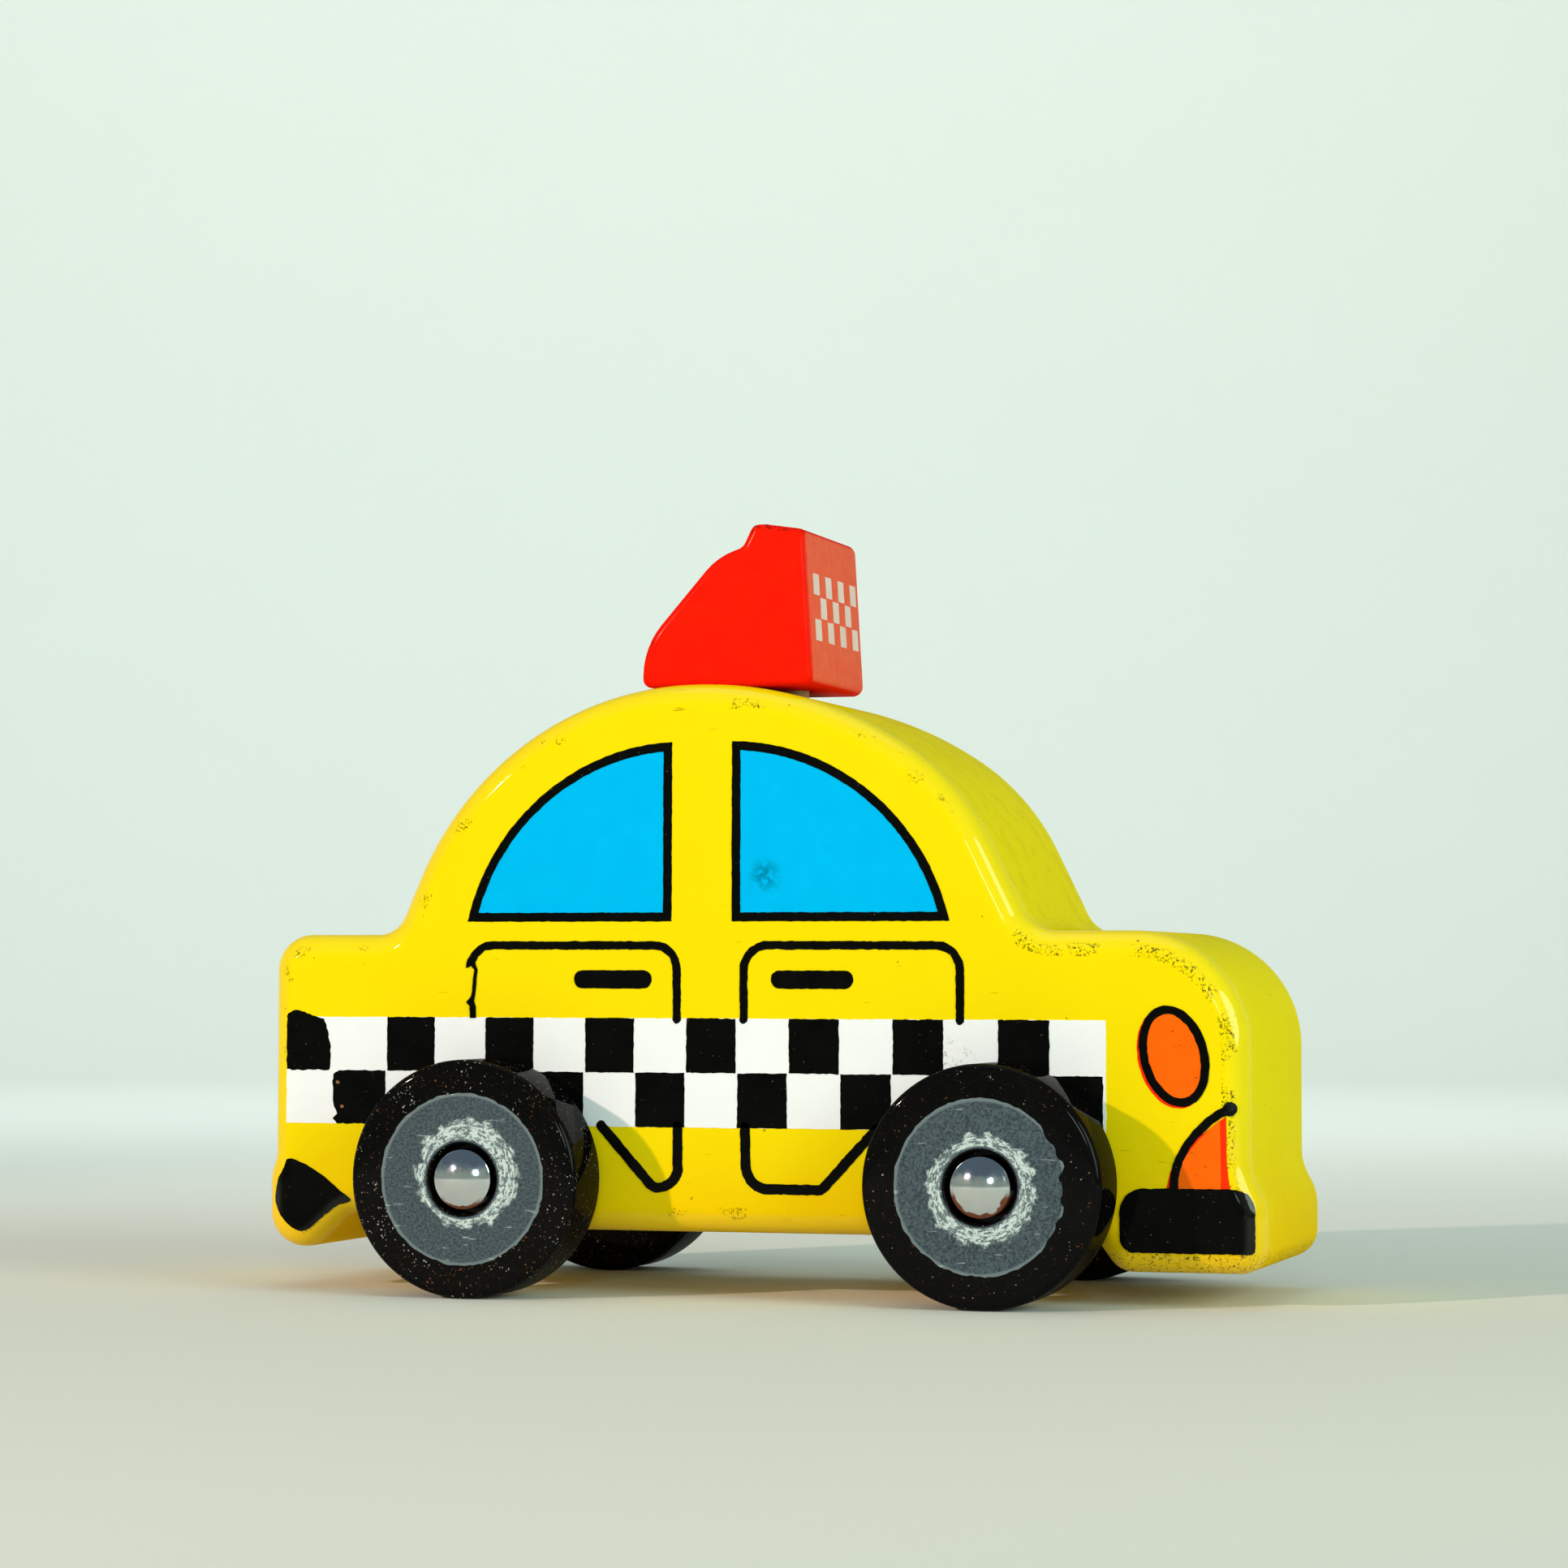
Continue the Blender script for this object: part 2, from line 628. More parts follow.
def red_paint():
    """Satin red lacquer, a little blotchy, rubbed thin on the edges."""
    paint = Paint("red_paint", Specular_IOR_Level=0.0, Coat_Weight=0.05, Coat_Roughness=0.12)
    shade = paint.mix(paint.noise(2.2, detail=5), rgb(238, 16, 6), rgb(250, 34, 8))
    rub = paint.times(paint.rim(), paint.step(paint.noise(0.7, detail=6, roughness=0.75), 0.62, 0.05))
    shade = paint.mix(paint.times(rub, 0.6), shade, rgb(120, 18, 8))
    # the front face is faded, and the top edge is chipped
    patchy = paint.spread(paint.noise(1.2, detail=3), 0.4, 0.9)
    faded = paint.times(paint.step(paint.facing("X"), 0.8, 0.15), patchy)
    shade = paint.mix(paint.times(faded, 0.65), shade, rgb(255, 150, 110))
    corners = paint.times(paint.step(paint.axis("Z"), 72.2, 0.5), paint.rim())
    corners = paint.times(corners, paint.step(paint.noise(0.5, detail=4, shift=8), 0.54, 0.04))
    shade = paint.mix(paint.times(corners, 0.6), shade, rgb(74, 20, 12))
    texture = paint.bump(paint.noise(0.6, detail=3), 0.02)
    paint.set(Base_Color=shade, Roughness=paint.spread(paint.noise(1.5), 0.34, 0.5), Normal=texture)
    return paint.material


def ink(name, colour, other, roughness=0.3, specks=None, coat=0.07, smudge=None, cracks=None):
    """Printed ink with a mottled tone, pinholes and a fine pebbled surface."""
    paint = Paint(name, Specular_IOR_Level=0.0, Coat_Roughness=0.06)
    shade = paint.mix(paint.noise(2.6, detail=5), colour, other)
    if cracks:
        lines = paint.step(paint.noise(0.4, detail=3, stretch=(0.4, 1, 1), shift=17), 0.7, 0.015)
        shade = paint.mix(paint.times(lines, 0.75), shade, cracks)
    if smudge:
        centre, reach, grain, edge, tone = smudge
        spot = paint.step(paint.away(centre), reach, 0.9, rising=False)
        spot = paint.times(spot, paint.step(paint.noise(grain, detail=5, roughness=0.7), edge, 0.06))
        shade = paint.mix(paint.times(spot, 0.6), shade, tone)
    if specks:
        pinholes = paint.step(paint.noise(0.3, detail=2, roughness=0.7, shift=40), 0.73, 0.02)
        shade = paint.mix(paint.times(pinholes, 0.7), shade, specks)
    pebbles = paint.bump(paint.noise(0.45, detail=3), 0.014)
    wave = paint.bump(paint.noise(2.5, detail=1), 0.012, pebbles)
    gloss = paint.spread(paint.noise(1.2), roughness - 0.06, roughness + 0.08)
    polish = paint.spread(paint.rim(), coat, 0.7)
    paint.set(Base_Color=shade, Roughness=gloss, Normal=wave, Coat_Weight=polish)
    return paint.material


def wheel_paint(seed):
    """Gloss black lacquer on turned wood, with crisp pale chips and a little dust."""
    paint = Paint(f"wheel_black_{seed}", Specular_IOR_Level=0.0, Coat_Roughness=0.05)
    shade = paint.mix(paint.noise(4, detail=4, shift=seed), rgb(4, 4, 5), rgb(12, 10, 10))
    dust = paint.step(paint.noise(0.3, detail=4, roughness=0.8, shift=seed * 7), 0.66, 0.03)
    shade = paint.mix(paint.times(dust, 0.3), shade, rgb(112, 92, 66))
    amount = 0.3 if seed == FRONT_RIGHT_SEED else 0.42
    chips = paint.maths(
        "MAXIMUM", paint.dots(0.14, amount - 0.1, seed * 3), paint.dots(0.09, amount, seed * 3 + 40),
    )
    brown = paint.step(paint.noise(3, detail=1, shift=seed), 0.5, 0.05)
    tone = paint.mix(brown, rgb(196, 190, 178), rgb(140, 90, 50))
    shade = paint.mix(paint.times(chips, 0.6), shade, tone)
    grain = paint.bump(paint.noise(0.7, detail=3, stretch=(1, 0.2, 1)), 0.01)
    worn = paint.maths("MAXIMUM", dust, chips)
    paint.set(
        Base_Color=shade, Roughness=paint.spread(worn, 0.22, 0.6), Normal=paint.bump(worn, 0.02, grain),
        Coat_Weight=paint.spread(worn, 0.17, 0.05),
    )
    return paint.material


def hub_paint(seed, centre):
    """Matt grey paint on the wheel face, with a flecked pale ring rubbed round the hub."""
    paint = Paint(f"hub_grey_{seed}", Specular_IOR_Level=0.2)
    radius = paint.away(centre)
    tone = paint.noise(0.26, detail=5, roughness=0.8, shift=seed)
    shade = paint.mix(paint.step(tone, 0.5, 0.12), rgb(38, 52, 62), rgb(80, 94, 101))
    shade = paint.mix(paint.step(radius, 7.72, 0.1), shade, rgb(104, 118, 122))
    # flecks drawn out round the hub, in a ring that sits a little off centre
    right, up = (0.5, 0.5) if seed == REAR_RIGHT_SEED else (0.1, -0.3)
    off = (centre[0] + right, 0, centre[2] + up)
    around = paint.turning(off, 0.2)
    uneven = paint.spread(paint.noise(0.9, detail=5, shift=seed), -1.3, 1.3)
    edge = paint.maths("ADD", paint.away(off), uneven)
    ring = paint.times(paint.step(edge, 4.9, 0.25, rising=False), paint.step(radius, 3.72, 0.1))
    fleck = paint.node("ShaderNodeTexNoise", Vector=around, Scale=1.0, Detail=4.0, Roughness=0.7)
    shade = paint.mix(paint.times(ring, 0.22), shade, rgb(176, 192, 192))
    worn = paint.times(ring, paint.step(fleck, 0.484, 0.02))
    shade = paint.mix(paint.times(worn, 0.9), shade, rgb(206, 222, 220))
    scratch = paint.noise(0.3, detail=2, stretch=(0.12, 1, 1), shift=seed * 3)
    rub = paint.step(paint.noise(2.6, detail=2, shift=seed * 2), 0.48, 0.06)
    scratch = paint.times(paint.step(scratch, 0.68, 0.02), rub)
    shade = paint.mix(paint.times(scratch, 0.6), shade, rgb(170, 184, 186))
    relief = paint.bump(paint.maths("ADD", tone, worn), 0.02)
    paint.set(Base_Color=shade, Roughness=paint.spread(tone, 0.45, 0.7), Normal=relief)
    return paint.material


def chrome(seed, centre):
    """Bright plate, lightly scuffed, darker above; rust creeps in from the lower edge."""
    paint = Paint(f"cap_chrome_{seed}", Metallic=1.0)
    ragged_radius = paint.maths(
        "ADD", paint.away(centre), paint.spread(paint.noise(0.8, detail=5, shift=seed), -0.2, 0.75),
    )
    rust_top = centre[2] - (0.5 if seed == FRONT_RIGHT_SEED else 1.9)
    below = paint.step(paint.axis("Z"), rust_top, 0.5, rising=False)
    rust = paint.times(paint.step(ragged_radius, 2.72, 0.08), below)
    shade = paint.mix(paint.noise(1.5, detail=3), rgb(226, 228, 230), rgb(204, 208, 214))
    uneven = paint.spread(paint.noise(1.2, detail=3, shift=seed), -1, 1)
    tarnish = paint.maths("ADD", paint.axis("Z"), uneven)
    tarnish = paint.times(paint.step(tarnish, centre[2] + 0.9, 0.5), 0.75)
    shade = paint.mix(tarnish, shade, rgb(96, 120, 150))
    shade = paint.mix(rust, shade, rgb(104, 52, 26))
    scuff = paint.noise(0.25, detail=3, roughness=0.7)
    rough = paint.maths("ADD", paint.spread(scuff, 0.05, 0.16), paint.times(rust, 0.5))
    paint.set(
        Base_Color=shade, Roughness=rough, Normal=paint.bump(scuff, 0.003),
        Metallic=paint.spread(rust, 1.0, 0.25),
    )
    return paint.material


def steel():
    """Drawn steel rod with fine lines along it."""
    paint = Paint("axle_steel", Metallic=1.0)
    lines = paint.noise(0.25, detail=3, stretch=(1, 0.05, 1))
    shade = paint.mix(lines, rgb(150, 152, 154), rgb(186, 188, 190))
    paint.set(Base_Color=shade, Roughness=paint.spread(lines, 0.28, 0.45), Normal=paint.bump(lines, 0.004))
    return paint.material


def bare_wood():
    """Unpainted birch dowel with its grain along Z."""
    paint = Paint("bare_wood")
    grain = paint.noise(0.6, detail=5, stretch=(1, 1, 0.1))
    shade = paint.mix(grain, rgb(222, 190, 142), rgb(190, 150, 100))
    paint.set(Base_Color=shade, Roughness=0.65, Normal=paint.bump(grain, 0.02))
    return paint.material


# ---------------------------------------------------------------- body and sign

def dowel_holes():
    """Holes for the two dowels under the sign, as drill() takes them."""
    holes = []
    for dowel in SIGN_DOWELS:
        low, high = box_mm(dowel)
        holes.append(((low + high) / 2, (0, 0, 1), DOWEL_HOLE_RADIUS, high.z - low.z + 1))
    return holes


def make_body(material):
    vertices, faces = slab_mesh(body_outline(), BODY_HIGH.y - BODY_LOW.y, BODY_ROUNDOVER, 10)
    body = new_piece("painted_body", vertices, faces, "chassis", "yellow_paint", material)
    holes = []
    for axle in ("front_axle", "rear_axle"):
        low, high = box_mm(axle)
        holes.append(((low + high) / 2, (0, 1, 0), AXLE_BORE_RADIUS, high.y - low.y))
    drill(body, holes + dowel_holes())
    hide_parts("body")


def make_sign(material, worn):
    vertices, faces = slab_mesh(sign_outline(), SIGN_HIGH.y - SIGN_LOW.y, SIGN_ROUNDOVER, 5)
    sign = new_piece("sign_block", vertices, faces, "chassis", "red_paint", material)
    drill(sign, dowel_holes())
    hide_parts("roof_sign")
    # rows of small white checks across the front
    middle = (SIGN_HIGH.x - math.tan(SIGN_LEAN) * SIGN_CHECK_Z, 0, SIGN_LOW.z + SIGN_CHECK_Z)
    lay = flat_face(middle, (0, 1, 0), (-math.sin(SIGN_LEAN), 0, math.cos(SIGN_LEAN)))
    near, far = SIGN_CHECK_GAP, SIGN_CHECK - SIGN_CHECK_GAP
    loops = []
    for row in range(SIGN_CHECK_ROWS):
        for column in range(row % 2, SIGN_CHECK_COLUMNS, 2):
            y = (column - SIGN_CHECK_COLUMNS / 2) * SIGN_CHECK
            z = (row - SIGN_CHECK_ROWS / 2) * SIGN_CHECK
            square = rectangle(y + near, z + near, y + far, z + far)
            loops.append(ragged(square, 70 + row, 0.03))
    film("sign_checks", loops, lay, "chassis", "ink_white", worn)


# ---------------------------------------------------------------- prints on the sides

def window(pillar_x, centre, outward):
    """Window with a straight pillar edge, a flat sill and an arc that follows the roof."""
    arc_x, centre_z = centre
    start = math.asin((WINDOW_BOTTOM_Z - centre_z) / WINDOW_RADIUS)
    end = math.acos((pillar_x - arc_x) * outward / WINDOW_RADIUS)
    steps = 40
    points = []
    for k in range(steps + 1):
        angle = start + (end - start) * k / steps
        points.append((
            arc_x + outward * WINDOW_RADIUS * math.cos(angle),
            centre_z + WINDOW_RADIUS * math.sin(angle),
        ))
    loop = points + [(pillar_x, WINDOW_BOTTOM_Z)]
    return loop if outward > 0 else loop[::-1]


def windows():
    return [
        window(pillar, centre, outward)
        for pillar, centre, outward in zip(PILLAR_XS, WINDOW_CENTRES, (-1, 1))
    ]


def check_row(start, low, high):
    """Black checks of one row of the band, from the rear forwards."""
    starts = [start + CHECK_PITCH * k for k in range(CHECK_COUNT)]
    return [rectangle(x, low, x + CHECK_WIDTH, high) for x in starts]


def misprinted_checks():
    """The two checks at the tail, which came out smudged."""
    low, middle, high = BAND_ROWS_Z
    tail, right = BAND_X[0], LOWER_CHECK_X - CHECK_PITCH + CHECK_WIDTH
    return [
        [
            (tail, middle), (-41.85, middle), (-41.8, 23.1), (-42.1, 24.7), (-42.5, 25.8),
            (-43.5, high), (-44.5, 26.5), (-45.5, 26.7), (-46.2, 26.4), (tail, high),
        ],
        [
            (-41.1, low), (right, low), (right, middle), (-40.9, middle), (-41.5, 20.5),
            (-41.6, 19.9), (-41.5, 19.0), (-41.6, 18.3), (-41.4, 17.5), (-41.1, 16.8),
            (-41.55, 16.35),
        ],
    ]


def door_lines():
    """Outlines of the printed lines of the two doors, above and below the checked band."""
    low, high = BAND_ROWS_Z[0] + 0.1, BAND_ROWS_Z[2] - 0.1
    rear_top = [
        (-27.5, 31.4, 0), (-27.1, 32.1, 0.6), (-26.2, 32.82, 0.9), (-25.2, 32.9, 0.6),
        (-7.0, 32.9, 2.2), (-6.95, high, 0),
    ]
    front_top = [(-0.4, high, 0), (-0.4, 32.9, 2.3), (20.4, 32.9, 2.3), (20.4, high, 0)]
    rear_foot = [(-6.85, low, 0), (-6.8, 10.2, 1.9), (-9.25, 10.2, 0.9), (-14.4, low, 0)]
    front_foot = [(-0.25, low, 0), (-0.1, 10.2, 2.2), (7.2, 10.2, 1.0), (12.5, low, 0)]
    tops = [stroke(rounded(line, closed=False), LINE) for line in (rear_top, front_top)]
    feet = [stroke(rounded(line, closed=False), FOOT_LINE) for line in (rear_foot, front_foot)]
    return tops + feet


DOOR_MISPRINT = [
    (-27.86, 31.6), (-27.95, 31.2), (-28.05, 30.72), (-27.5, 30.95), (-27.18, 30.6), (-27.3, 29.6),
    (-27.38, 28.6), (-27.48, 28.1), (-28.0, 27.5), (-27.62, 27.1), (-27.6, 26.0), (-26.98, 26.0),
    (-27.0, 27.0), (-27.18, 27.6), (-27.02, 28.6), (-26.95, 29.6), (-26.84, 30.6), (-27.05, 31.1),
    (-27.16, 31.6),
]


def handles():
    return [stroke([(a, HANDLE_Z), (b, HANDLE_Z)], HANDLE_WIDTH, 12) for a, b in HANDLE_SPANS]


LAMP_CENTRE = (40.4, 22.85)
LAMP_LEAN = math.radians(15)
SIGNAL_LINE = [
    (40.35, 10.7), (40.45, 12.1), (40.8, 13.4), (41.5, 14.7), (42.4, 15.8), (43.5, 16.9), (44.6, 17.7),
    (45.4, 18.05),
]
SIGNAL_FILL = [
    (40.3, 10.7), (44.65, 10.7), (44.68, 12.9), (44.62, 15.2), (44.6, 17.1), (43.9, 16.5),
    (42.7, 15.3), (41.6, 14.0), (40.7, 12.6),
]
SIGNAL_SHADOW = [
    (39.65, 10.7), (45.55, 10.7), (45.35, 11.9), (45.2, 13.2), (45.2, 15.3), (45.15, 17.4),
    (44.5, 17.0), (42.2, 15.2), (40.9, 13.9), (40.0, 12.3),
]
TAIL_CHIPS = ((-41.06, 19.8), (-40.59, 17.48))
FRONT_BUMPER = [
    (35.35, 5.0, 1.4), (47.7, 5.0, 0.35), (47.7, 10.85, 2.0), (35.35, 10.85, 2.3),
]
REAR_BUMPER = [
    (-46.1, 12.4), (-44.6, 12.0), (-42.6, 10.9), (-41.0, 9.6), (-39.8, 8.5), (-41.1, 8.0), (-42.5, 7.0),
    (-43.8, 5.9), (-44.8, 5.45), (-46.0, 6.0), (-47.0, 7.1), (-47.6, 8.5), (-47.3, 10.3), (-46.6, 11.6),
]
PRINT_SLOTS = {
    "black": "ink_black", "white": "ink_white", "blue": "ink_blue", "orange": "ink_orange",
    "red": "ink_orange", "chip": "bare_wood",
}


def print_side(side, inks):
    """All the printed panels on one side of the body."""
    label = "left" if side > 0 else "right"
    lay = body_side(side)
    seed = 10 + 5 * side

    def put(name, loops, colour, layer, size=0.055, fill_pitch=None):
        rough = [ragged(loop, seed + i * 0.37, size) for i, loop in enumerate(loops)]
        slot, material = PRINT_SLOTS[colour], inks[colour]
        film(f"{name}_{label}", rough, lay, "chassis", slot, material, layer, fill_pitch)

    glass = windows()
    put("window_panes", [offset(loop, LINE / 2) for loop in glass], "blue", 1)
    put("window_frames", glass + [offset(loop, LINE * 1.08) for loop in glass], "black", 2, 0.04)
    low, middle, high = BAND_ROWS_Z
    put("check_band", [rectangle(BAND_X[0], low, BAND_X[1], high)], "white", 1, 0.05, 0.7)
    checks = check_row(UPPER_CHECK_X, middle, high) + check_row(LOWER_CHECK_X, low, middle)
    put("checks", checks, "black", 2)
    put("tail_check_upper", misprinted_checks()[:1], "black", 2, 0.09, 0.5)
    put("tail_check_lower", misprinted_checks()[1:], "black", 2, 0.09)
    put("tail_chips", [ellipse(chip, 0.19, 0.17, steps=12) for chip in TAIL_CHIPS], "chip", 3, 0.05)
    put("door_lines", door_lines(), "black", 2, 0.06)
    put("door_misprint", [DOOR_MISPRINT], "black", 3, 0.04)
    put("door_handles", handles(), "black", 2, 0.04)
    lamp_fill = ellipse((LAMP_CENTRE[0] - 0.2, LAMP_CENTRE[1] - 0.2), 2.85, 4.4, LAMP_LEAN)
    lamp_shade = ellipse((LAMP_CENTRE[0] - 0.22, LAMP_CENTRE[1] - 0.2), 3.1, 4.65, LAMP_LEAN)
    put("lamp_shade", [lamp_shade], "red", 1, 0.04)
    put("lamp_glass", [lamp_fill], "orange", 2, 0.04)
    rings = [ellipse(LAMP_CENTRE, 3.12 - inset, 4.69 - inset, LAMP_LEAN) for inset in (0, LINE)]
    put("lamp_ring", rings, "black", 3, 0.045)
    put("signal_shadow", [smooth_corners(SIGNAL_SHADOW)], "red", 1, 0.03, 0.35)
    put("signal_fill", [smooth_corners(SIGNAL_FILL)], "orange", 2, 0.03)
    put("signal_line", [stroke(SIGNAL_LINE, LINE)], "black", 3, 0.05, 0.3)
    put("signal_dot", [ellipse((45.5, 18.1), 0.62, 0.66, steps=24)], "black", 3, 0.03)
    put("front_bumper", [rounded(FRONT_BUMPER)], "black", 4, 0.06, 0.4)
    put("rear_bumper", [smooth_loop(REAR_BUMPER)], "black", 2, 0.05, 0.4)


def smooth_corners(points):
    """A hand-placed loop left as it is, apart from tiny rounds at its corners."""
    return rounded([(x, z, 0.05) for x, z in points], step=math.radians(45))


# ---------------------------------------------------------------- wheels, caps and axles

def make_wheel(end, side_name, seed):
    node = f"{end}_{side_name}_wheel"
    side = 1 if side_name == "left" else -1
    low, high = box_mm(node)
    centre = (low + high) / 2
    radius, width = (high.z - low.z) / 2, high.y - low.y
    centre.y = low.y if side > 0 else high.y
    edge, bore, recess = 0.7, WHEEL_BORE_RADIUS, HUB_RECESS_RADIUS
    quarter = math.pi / 2
    profile = [
        (bore, 0), *arc(radius - edge, edge, edge, -quarter, 0),
        *arc(radius - edge, width - edge, edge, 0, quarter),
        *arc(recess + 0.2, width - 0.2, 0.2, quarter, 2 * quarter, 3),
        (recess, width - HUB_RECESS_DEPTH), (bore, width - HUB_RECESS_DEPTH),
    ]
    wheel = turned(f"turned_{node}", profile, centre, side, node, "wheel_black", wheel_paint(seed), 128)
    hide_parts(node)
    # the grey ring, its outer edge torn on one side of the front right wheel
    torn = HUB_FACE_TEAR if seed == FRONT_RIGHT_SEED else 0.0
    outer = []
    for a in np.linspace(0, math.tau, 120, endpoint=False):
        notches = 1 + math.sin(17 * a) * math.sin(7 * a)
        reach = HUB_FACE_RADIUS - torn * max(0.0, math.cos(a - 0.1)) ** 3 * notches
        outer.append((reach * math.cos(a), reach * math.sin(a)))
    inner = ellipse((0, 0), HUB_FACE_HOLE, HUB_FACE_HOLE, steps=60)
    loops = [ragged(outer, seed * 3.1, 0.11, 0.3, 0.9), ragged(inner, seed, 0.02)]
    lay = flat_face((centre.x, centre.y + side * width, centre.z), (-side, 0, 0), (0, 0, 1))
    film(f"hub_face_{end}_{side_name}", loops, lay, node, "hub_grey", hub_paint(seed, tuple(centre)))


def make_cap(end, side_name, seed):
    node = f"{end}_{side_name}_axle_cap"
    side = 1 if side_name == "left" else -1
    low, high = box_mm(node)
    centre = (low + high) / 2
    centre.y = low.y if side > 0 else high.y
    radius, height = (high.z - low.z) / 2, high.y - low.y
    rim, rise = radius - 0.14, height - CAP_SKIRT
    sphere = (rim**2 + rise**2) / (2 * rise)
    dome = [
        (sphere * math.sin(a), height - sphere * (1 - math.cos(a)))
        for a in np.linspace(math.asin(rim / sphere), 0, 12)
    ]
    profile = [
        (0, CAP_BORE_DEPTH), (CAP_BORE_RADIUS, CAP_BORE_DEPTH), (CAP_BORE_RADIUS, 0),
        (radius - 0.12, 0), (radius, 0.12),
        (radius, CAP_SKIRT - 0.16), (radius - 0.05, CAP_SKIRT - 0.03), *dome,
    ]
    plate = chrome(seed, tuple(centre))
    cap = turned(f"domed_{node}", profile, centre, side, f"{end}_axle_set", "cap_chrome", plate, 64)
    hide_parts(node)


def make_axle(end, material):
    node = f"{end}_axle"
    low, high = box_mm(node)
    centre = (low + high) / 2
    radius, half, bevel = (high.z - low.z) / 2, (high.y - low.y) / 2, 0.3
    profile = [
        (0, -half), (radius - bevel, -half), (radius, bevel - half),
        (radius, half - bevel), (radius - bevel, half), (0, half),
    ]
    axle = turned(f"{end}_axle_rod", profile, centre, 1, f"{end}_axle_set", "axle_steel", material, 48)
    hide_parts(node)


# ---------------------------------------------------------------- stage

def flat_material(name, colour, roughness):
    """Plain matt finish for the stage, with a very faint unevenness."""
    paint = Paint(name)
    tone = paint.mix(paint.noise(60, detail=2), colour, tuple(c * 0.985 for c in colour[:3]) + (1.0,))
    paint.set(Base_Color=tone, Roughness=roughness, Specular_IOR_Level=0.1)
    return paint.material


def make_floor():
    """A pale floor that curves up into a low pale wall all round."""
    profile = [(0.0, 0.0), (FLOOR_RADIUS, 0.0)]
    for a in np.linspace(0.1, math.pi / 2, 12):
        profile.append((FLOOR_RADIUS + WALL_CURVE * math.sin(a), WALL_CURVE * (1 - math.cos(a))))
    profile.append((FLOOR_RADIUS + WALL_CURVE, WALL_TOP))
    steps = 96
    vertices, faces = [], []
    for s in range(steps):
        angle = math.tau * s / steps
        vertices += [(r * math.cos(angle) * MM, r * math.sin(angle) * MM, z * MM) for r, z in profile]
    count = len(profile)
    for s in range(steps):
        after = (s + 1) % steps
        for i in range(count - 1):
            here, there = s * count + i, after * count + i
            faces.append((here, there, there + 1, here + 1))
    mesh = bpy.data.meshes.new("floor")
    mesh.from_pydata(vertices, [], faces)
    mesh.shade_smooth()
    mesh.materials.append(flat_material("floor_cloth", rgb(236, 236, 226), 0.9))
    floor = bpy.data.objects.new("floor", mesh)
    bpy.context.scene.collection.objects.link(floor)


def add_light(name, kind, place, size, power, colour, target=LIGHT_TARGET):
    """A round lamp of that size in millimetres, aimed at a target and hidden from the camera."""
    light = bpy.data.lights.new(name, kind)
    if kind == "AREA":
        light.shape = "DISK"
        light.size = size * MM
    else:
        light.shadow_soft_size = size * MM / 2
        light.spot_size = KEY_CONE
        light.spot_blend = KEY_BLEND
    light.energy = power
    light.color = colour
    lamp = bpy.data.objects.new(name, light)
    lamp.location = Vector(place) * MM
    lamp.rotation_euler = (Vector(place) - Vector(target)).to_track_quat("Z", "Y").to_euler()
    lamp.visible_camera = False
    bpy.context.scene.collection.objects.link(lamp)


def make_lights():
    """A small warm key with hard shadows, three soft lights, and one on the wall behind."""
    add_light("key", "SPOT", (-522, -662, 309), 26, 17.8, (1.0, 0.76, 0.65))
    add_light("window", "AREA", (620, -330, 250), 420, 2.5, (0.8, 1.0, 0.9))
    add_light("glint", "AREA", (228, -850, 217), 160, 1.1, (0.75, 1.0, 1.0))
    add_light("top", "AREA", (0, 60, 900), 700, 0.7, (0.86, 1.0, 1.0))
    wall = (-400, 1190, 150)
    add_light("backdrop", "AREA", (-150, 420, 700), 600, 4.9, (0.85, 0.95, 1.0), wall)
    world = bpy.data.worlds.new("sky")
    bpy.context.scene.world = world
    world.use_nodes = True
    sky = world.node_tree.nodes["Background"]
    sky.inputs["Color"].default_value = (0.84, 1.0, 0.98, 1)
    sky.inputs["Strength"].default_value = 0.3


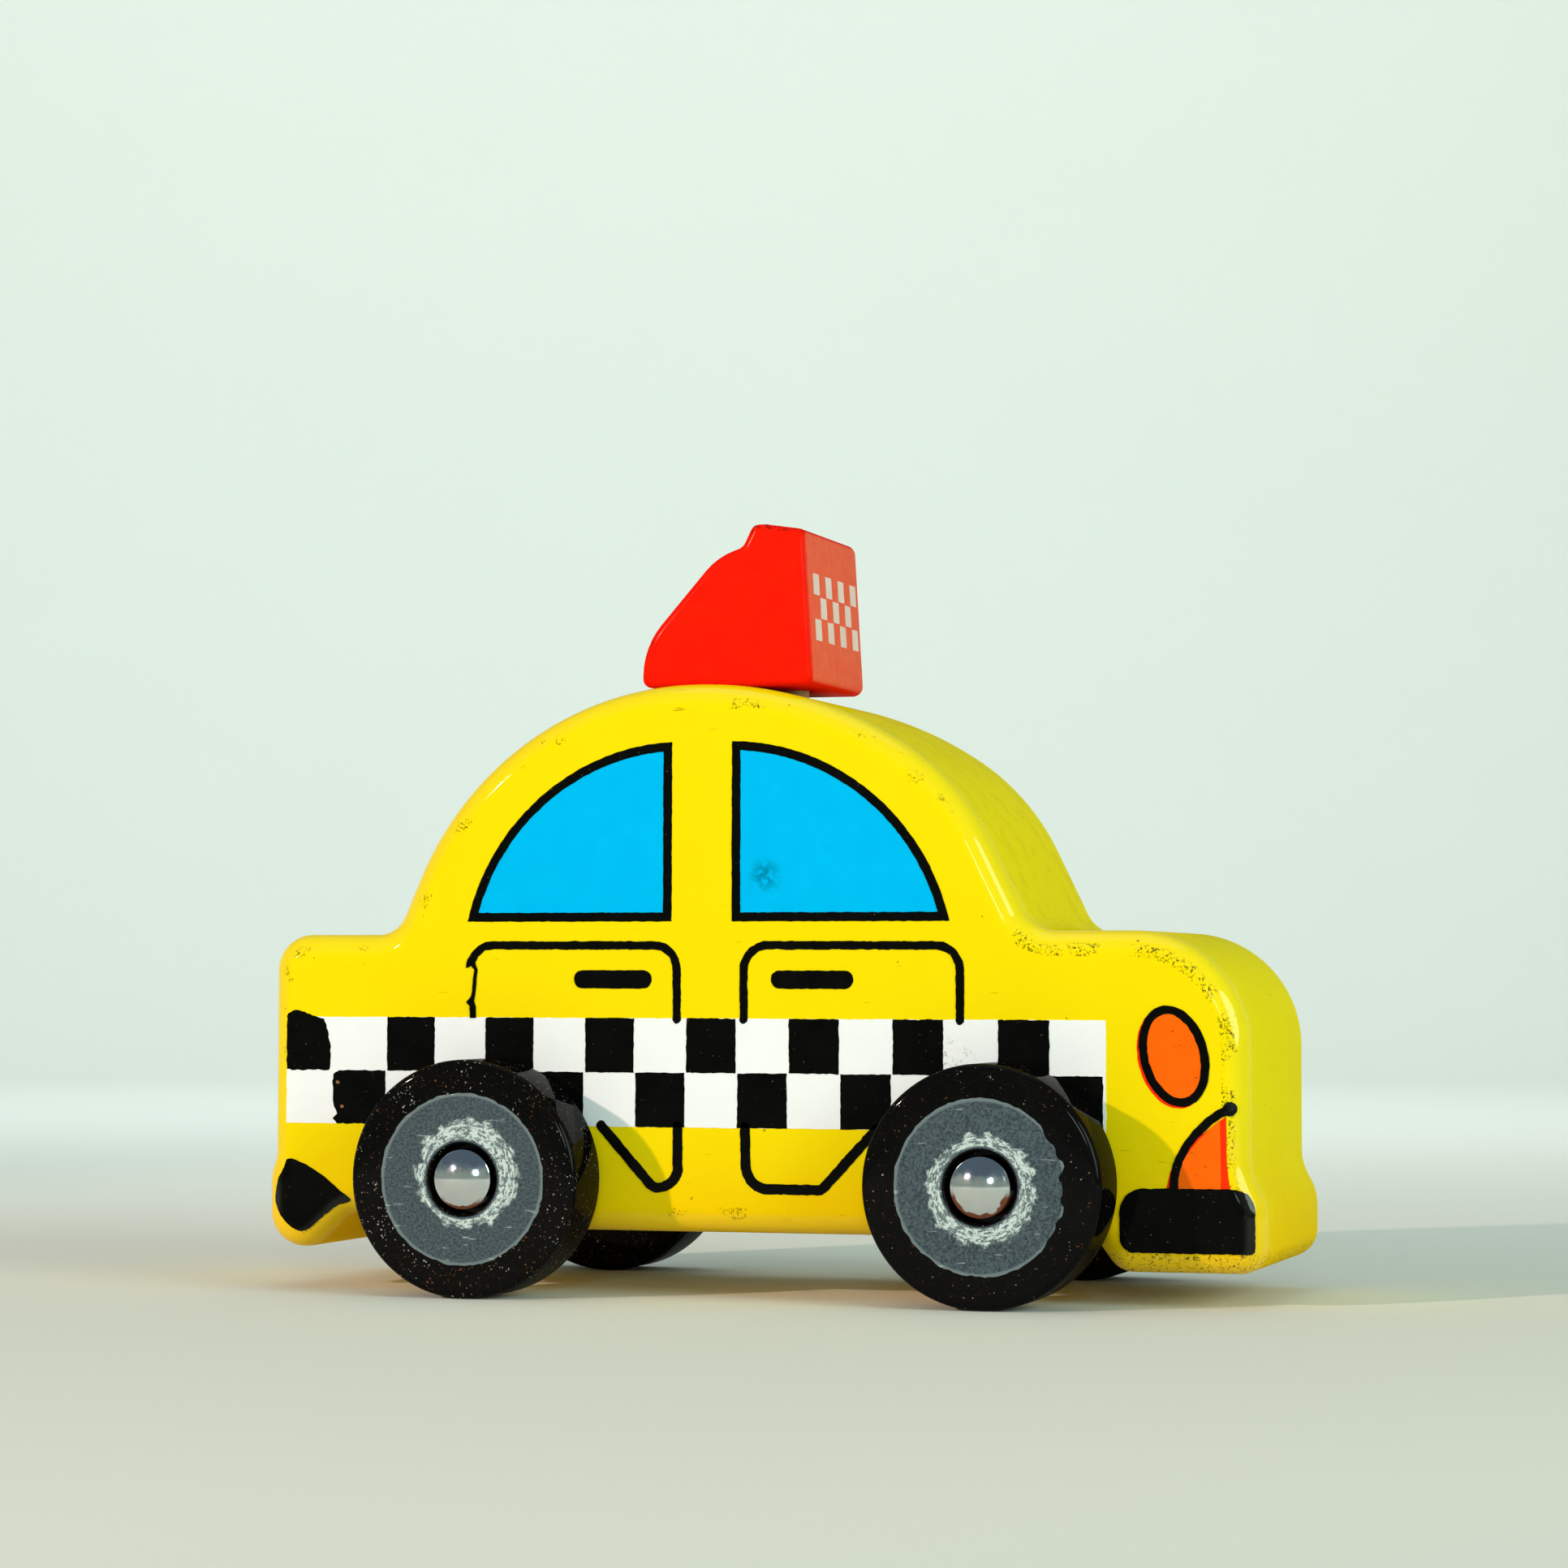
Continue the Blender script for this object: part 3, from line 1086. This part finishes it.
def make_camera():
    data = bpy.data.cameras.new("camera")
    data.lens = CAMERA_LENS
    data.sensor_width = 36
    data.clip_start, data.clip_end = 0.01, 10
    camera = bpy.data.objects.new("camera", data)
    turn = (
        Matrix.Rotation(CAMERA_YAW, 4, "Z") @ Matrix.Rotation(math.pi / 2 + CAMERA_PITCH, 4, "X")
        @ Matrix.Rotation(CAMERA_ROLL, 4, "Z")
    )
    camera.matrix_world = Matrix.Translation(Vector(CAMERA_PLACE) * MM) @ turn
    bpy.context.scene.collection.objects.link(camera)
    bpy.context.scene.camera = camera
    bpy.context.scene.view_settings.view_transform = "Standard"


# ---------------------------------------------------------------- assembly

def make_inks():
    dark, pale = rgb(4, 5, 5), rgb(14, 14, 12)
    return {
        "black": ink("ink_black", dark, pale, 0.26, rgb(120, 110, 80)),
        "white": ink(
            "ink_white", rgb(246, 248, 251), rgb(238, 242, 246), 0.32,
            smudge=((19.6, 0, 21.6), 2.5, 0.3, 0.6, rgb(134, 92, 44)),
        ),
        "blue": ink(
            "ink_blue", rgb(0, 178, 242), rgb(0, 190, 250), 0.3,
            smudge=((1.6, 0, 39.4), 1.2, 0.6, 0.48, rgb(0, 84, 110)),
        ),
        "orange": ink("ink_orange", rgb(250, 96, 8), rgb(255, 110, 12), 0.34, cracks=rgb(120, 40, 10)),
        "chip": ink("ink_chip", rgb(170, 128, 86), rgb(120, 76, 46), 0.6),
        "red": ink("ink_red", rgb(250, 40, 10), rgb(255, 56, 12), 0.34),
        "worn": ink("ink_worn", rgb(244, 226, 220), rgb(236, 196, 186), 0.4, rgb(226, 60, 44)),
    }


def main():
    # noise_vector() starts from the clock unless it is seeded, and the ink edges have to repeat
    noise.seed_set(EDGE_SEED)
    make_camera()
    inks = make_inks()
    make_body(yellow_paint())
    make_sign(red_paint(), inks["worn"])
    for side in (-1, 1):
        print_side(side, inks)
    rod = steel()
    for end in ("front", "rear"):
        make_axle(end, rod)
        for side_name in ("left", "right"):
            seed = 1 + 2 * (end == "rear") + (side_name == "left")
            make_wheel(end, side_name, seed)
            make_cap(end, side_name, seed)
    wood = bare_wood()
    for name in SIGN_DOWELS:
        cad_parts[name].data.materials.clear()
        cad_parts[name].data.materials.append(wood)
    make_floor()
    make_lights()


main()
